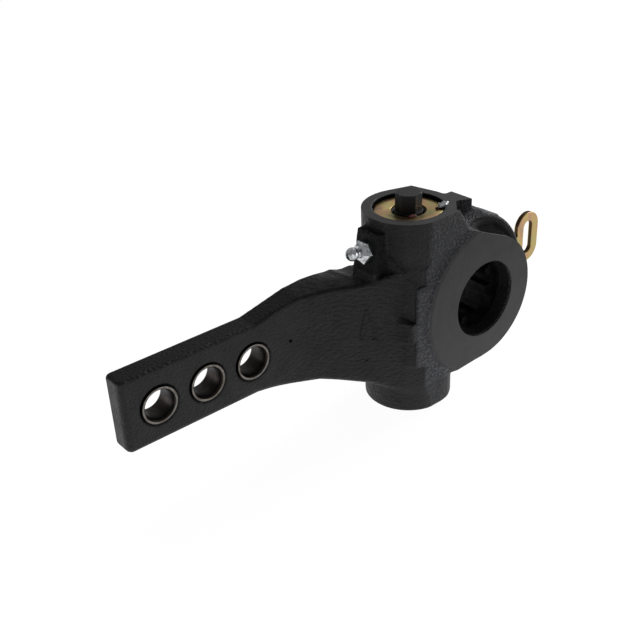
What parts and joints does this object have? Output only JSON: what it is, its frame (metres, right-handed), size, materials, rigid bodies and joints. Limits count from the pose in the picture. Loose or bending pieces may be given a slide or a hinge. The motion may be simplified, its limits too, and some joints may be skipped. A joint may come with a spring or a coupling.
{
  "type": "brake slack adjuster",
  "caption": "Automatic slack adjuster for an S-cam drum brake: cast arm with bushed clevis holes, worm-driven splined hub and a control arm that drives the adjusting clutch.",
  "frame": {"origin": "centre of the camshaft bore on the machined near face of the hub", "axes": "+Y runs along the camshaft away from the near face, the arm points to -X, and +Z is along the worm towards its adjusting hex"},
  "size_m": [0.2932, 0.055, 0.1095],
  "materials": {
    "black_paint": "satin black paint on cast iron",
    "cover_paint": "satin black paint on sheet steel",
    "bush_steel": "turned steel",
    "bright_zinc": "bright zinc plating",
    "yellow_zinc": "iridescent yellow zinc plating on steel",
    "seal_rubber": "matt black rubber",
    "bearing_steel": "ground steel",
    "bronze": "turned bronze",
    "spring_steel": "oiled spring steel",
    "gasket": "matt fibre gasket",
    "black_oxide": "black oxide steel",
    "gear_steel": "machined steel"
  },
  "bodies": {
    "housing_body": {"housing": "black_paint", "clevis_bush_1": "bush_steel", "clevis_bush_2": "bush_steel", "clevis_bush_3": "bush_steel", "grease_nipple": "bright_zinc", "end_plug": "yellow_zinc", "plug_o_ring": "seal_rubber", "plug_lock_pin": "bright_zinc", "shaft_seal": "seal_rubber", "thrust_race_upper": "bearing_steel", "needle_cage": "bronze", "needle_rollers": "bearing_steel", "lower_bush": "bronze", "worm_spring": "spring_steel", "spring_washer": "bearing_steel", "near_seal": "seal_rubber", "cover_plate": "cover_paint", "cover_gasket": "gasket", "cover_screws": "bright_zinc", "cover_seal": "seal_rubber"},
    "worm_body": {"worm_shaft": "black_oxide", "thrust_race_lower": "bearing_steel"},
    "wheel_body": {"worm_wheel": "gear_steel"},
    "clutch_body": {"clutch_ring": "gear_steel", "one_way_spring": "spring_steel"},
    "rack_body": {"rack": "gear_steel"},
    "control_body": {"control_disc": "gear_steel", "control_arm": "yellow_zinc", "arm_keys": "bearing_steel", "arm_snap_ring": "spring_steel"}
  },
  "joints": [
    {"name": "wheel_turn", "type": "hinge", "parent": "housing_body", "child": "wheel_body", "pos_m": [0, 0.023, 0], "axis": [0, 1, 0], "continuous": true},
    {"name": "worm_turn", "type": "hinge", "parent": "housing_body", "child": "worm_body", "pos_m": [-0.0315, 0.023, 0], "axis": [0, 0, 1], "continuous": true},
    {"name": "control_swing", "type": "hinge", "parent": "housing_body", "child": "control_body", "pos_m": [0, 0.045, 0], "axis": [0, 1, 0], "range_deg": [-4, 14]},
    {"name": "rack_slide", "type": "slide", "parent": "housing_body", "child": "rack_body", "axis": [1, 0, 0], "range_m": [-0.0021, 0.0071]},
    {"name": "clutch_turn", "type": "hinge", "parent": "housing_body", "child": "clutch_body", "pos_m": [-0.0315, 0.023, 0.03], "axis": [0, 0, 1], "range_deg": [-37, 11]}
  ],
  "couplings": [
    {"joint": "worm_turn", "follows": "wheel_turn", "ratio": -24},
    {"joint": "rack_slide", "follows": "control_swing", "m_per_rad": 0.0285},
    {"joint": "clutch_turn", "follows": "control_swing", "ratio": -2.5909}
  ]
}
